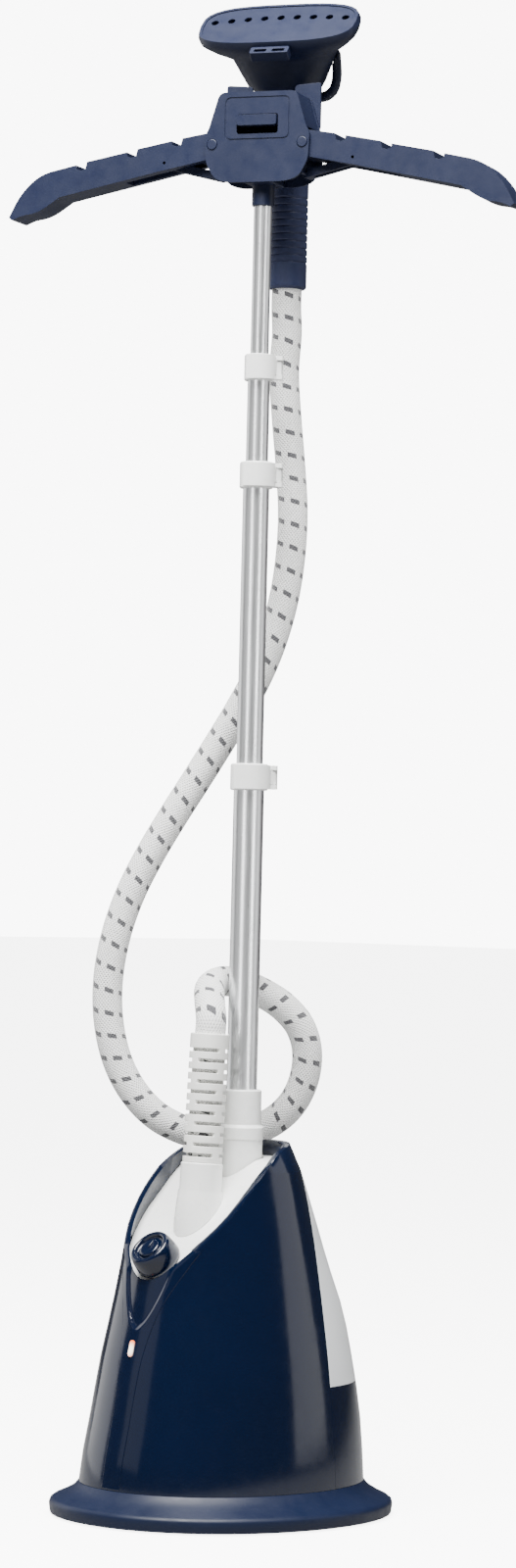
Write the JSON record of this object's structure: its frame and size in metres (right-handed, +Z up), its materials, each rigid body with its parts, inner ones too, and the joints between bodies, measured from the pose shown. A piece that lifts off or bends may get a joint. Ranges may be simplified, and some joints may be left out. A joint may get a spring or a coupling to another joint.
{
  "type": "garment steamer",
  "caption": "Upright garment steamer with a flared base and rear water tank, a telescopic mast with a folding hanger, and a steam head on a braided hose.",
  "frame": {"origin": "on the floor under the centre of the base", "axes": "+Z up along the mast, -Y the front with the knob and lamp, +X the object's left as seen from behind, which is the right seen from the front"},
  "size_m": [0.4946, 0.355, 1.491],
  "materials": {
    "base_skirt": "gloss navy ABS",
    "bottom_plate": "dark moulded plastic",
    "foot_front_right": "black rubber",
    "foot_front_left": "black rubber",
    "foot_rear_right": "black rubber",
    "foot_rear_left": "black rubber",
    "side_shell_right": "gloss navy ABS",
    "side_shell_left": "gloss navy ABS",
    "front_column": "gloss navy ABS",
    "indicator_lens": "amber lens",
    "rear_shell": "gloss navy ABS",
    "top_bridge": "gloss navy ABS",
    "front_panel": "white ABS",
    "knob_shaft": "dark moulded plastic",
    "tank_valve": "dark moulded plastic",
    "tank_bay_wall": "matte dark plastic",
    "mast_mount": "matte dark plastic",
    "boiler": "cast aluminium",
    "steam_pipe": "steel pipe",
    "water_pipe": "silicone tube",
    "cord_gland": "dark moulded plastic",
    "hose_cuff": "white ABS",
    "hose_inlet": "dark moulded plastic",
    "hose_sleeve": "white ABS",
    "mast_socket": "white ABS",
    "mast_tube_1": "brushed anodised aluminium",
    "clamp_1": "white ABS",
    "steam_hose_1": "white braided sleeve with grey flecks",
    "control_knob": "satin navy plastic",
    "water_tank": "frosted polypropylene",
    "tank_cap": "dark moulded plastic",
    "mast_tube_2": "brushed anodised aluminium",
    "clamp_2": "white ABS",
    "steam_hose_2": "white braided sleeve with grey flecks",
    "mast_tube_3": "brushed anodised aluminium",
    "clamp_3": "white ABS",
    "steam_hose_3": "white braided sleeve with grey flecks",
    "mast_tube_4": "brushed anodised aluminium",
    "hanger_collar": "satin navy plastic",
    "hanger_front_cover": "satin navy plastic",
    "hanger_rear_cover": "satin navy plastic",
    "arm_pin_right": "satin navy plastic",
    "arm_pin_left": "satin navy plastic",
    "head_cradle": "satin navy plastic",
    "steam_hose_4": "white braided sleeve with grey flecks",
    "latch_slider": "satin navy plastic",
    "arm_right": "satin navy plastic",
    "arm_left": "satin navy plastic",
    "stay_right": "satin navy plastic",
    "stay_left": "satin navy plastic",
    "nozzle_plate": "satin navy plastic",
    "head_shell": "satin navy plastic",
    "accessory_clip": "satin navy plastic",
    "head_loop": "satin navy plastic",
    "steam_grip": "satin navy plastic",
    "clamp_1_lever": "white ABS",
    "clamp_2_lever": "white ABS",
    "clamp_3_lever": "white ABS"
  },
  "bodies": {
    "base": {"base_skirt": "base_skirt", "bottom_plate": "bottom_plate", "foot_front_right": "foot_front_right", "foot_front_left": "foot_front_left", "foot_rear_right": "foot_rear_right", "foot_rear_left": "foot_rear_left", "side_shell_right": "side_shell_right", "side_shell_left": "side_shell_left", "front_column": "front_column", "indicator_lens": "indicator_lens", "rear_shell": "rear_shell", "top_bridge": "top_bridge", "front_panel": "front_panel", "knob_shaft": "knob_shaft", "tank_valve": "tank_valve", "tank_bay_wall": "tank_bay_wall", "mast_mount": "mast_mount", "boiler": "boiler", "steam_pipe": "steam_pipe", "water_pipe": "water_pipe", "cord_gland": "cord_gland", "hose_cuff": "hose_cuff", "hose_inlet": "hose_inlet", "hose_sleeve": "hose_sleeve", "mast_socket": "mast_socket", "mast_tube_1": "mast_tube_1", "clamp_1": "clamp_1", "steam_hose_1": "steam_hose_1"},
    "knob": {"control_knob": "control_knob"},
    "tank": {"water_tank": "water_tank"},
    "cap": {"tank_cap": "tank_cap"},
    "mast_2": {"mast_tube_2": "mast_tube_2", "clamp_2": "clamp_2", "steam_hose_2": "steam_hose_2"},
    "mast_3": {"mast_tube_3": "mast_tube_3", "clamp_3": "clamp_3", "steam_hose_3": "steam_hose_3"},
    "hanger": {"mast_tube_4": "mast_tube_4", "hanger_collar": "hanger_collar", "hanger_front_cover": "hanger_front_cover", "hanger_rear_cover": "hanger_rear_cover", "arm_pin_right": "arm_pin_right", "arm_pin_left": "arm_pin_left", "head_cradle": "head_cradle", "steam_hose_4": "steam_hose_4"},
    "latch": {"latch_slider": "latch_slider"},
    "right_arm": {"arm_right": "arm_right"},
    "left_arm": {"arm_left": "arm_left"},
    "right_stay": {"stay_right": "stay_right"},
    "left_stay": {"stay_left": "stay_left"},
    "steam_head": {"nozzle_plate": "nozzle_plate", "head_shell": "head_shell", "accessory_clip": "accessory_clip", "head_loop": "head_loop", "steam_grip": "steam_grip"},
    "lever_1": {"clamp_1_lever": "clamp_1_lever"},
    "lever_2": {"clamp_2_lever": "clamp_2_lever"},
    "lever_3": {"clamp_3_lever": "clamp_3_lever"}
  },
  "joints": [
    {"name": "mast_2_slide", "type": "slide", "parent": "base", "child": "mast_2", "axis": [0, 0, 1], "range_m": [-0.268, 0.015], "deforming": ["steam_hose_1", "steam_hose_2", "steam_hose_3", "steam_hose_4"]},
    {"name": "mast_3_slide", "type": "slide", "parent": "mast_2", "child": "mast_3", "axis": [0, 0, 1], "range_m": [-0.078, 0.19], "deforming": ["steam_hose_1", "steam_hose_2", "steam_hose_3", "steam_hose_4"]},
    {"name": "mast_4_slide", "type": "slide", "parent": "mast_3", "child": "hanger", "axis": [0, 0, 1], "range_m": [-0.143, 0.12], "deforming": ["steam_hose_1", "steam_hose_2", "steam_hose_3", "steam_hose_4"]},
    {"name": "head_lift", "type": "slide", "parent": "hanger", "child": "steam_head", "axis": [0, 0, 1], "range_m": [0, 0.12], "deforming": ["steam_hose_1", "steam_hose_2", "steam_hose_3", "steam_hose_4"]},
    {"name": "arm_right_fold", "type": "hinge", "parent": "hanger", "child": "right_arm", "pos_m": [0.0426, 0.03386, 1.341], "axis": [-0.4226, 0.9063, 0], "range_deg": [0, 48]},
    {"name": "arm_left_fold", "type": "hinge", "parent": "hanger", "child": "left_arm", "pos_m": [-0.0426, -0.00586, 1.341], "axis": [0.4226, -0.9063, 0], "range_deg": [0, 48]},
    {"name": "stay_right_turn", "type": "hinge", "parent": "hanger", "child": "right_stay", "pos_m": [0.04124, 0.03323, 1.312], "axis": [-0.4226, 0.9063, 0], "range_deg": [0, 60]},
    {"name": "stay_left_turn", "type": "hinge", "parent": "hanger", "child": "left_stay", "pos_m": [-0.04124, -0.00523, 1.312], "axis": [0.4226, -0.9063, 0], "range_deg": [0, 60]},
    {"name": "latch_slide", "type": "slide", "parent": "hanger", "child": "latch", "axis": [0, 0, -1], "range_m": [0, 0.0074]},
    {"name": "knob_turn", "type": "hinge", "parent": "base", "child": "knob", "pos_m": [0, -0.0905, 0.2475], "axis": [0, -0.72, 0.694], "range_deg": [-135, 135]},
    {"name": "tank_pull", "type": "slide", "parent": "base", "child": "tank", "axis": [0, 1, 0], "range_m": [0, 0.16]},
    {"name": "cap_turn", "type": "hinge", "parent": "tank", "child": "cap", "pos_m": [0, 0.07, 0.134], "axis": [0, 0, 1], "range_deg": [-90, 0]},
    {"name": "clamp_1_flip", "type": "hinge", "parent": "base", "child": "lever_1", "pos_m": [0.01881, 0.02857, 0.7195], "axis": [0, 0, 1], "range_deg": [0, 100]},
    {"name": "clamp_2_flip", "type": "hinge", "parent": "mast_2", "child": "lever_2", "pos_m": [0.01739, 0.02715, 1.0165], "axis": [0, 0, 1], "range_deg": [0, 100]},
    {"name": "clamp_3_flip", "type": "hinge", "parent": "mast_3", "child": "lever_3", "pos_m": [0.01598, 0.02574, 1.1225], "axis": [0, 0, 1], "range_deg": [0, 100]}
  ],
  "couplings": [
    {"joint": "stay_right_turn", "follows": "arm_right_fold", "ratio": 1.2},
    {"joint": "stay_left_turn", "follows": "arm_left_fold", "ratio": 1.2}
  ]
}
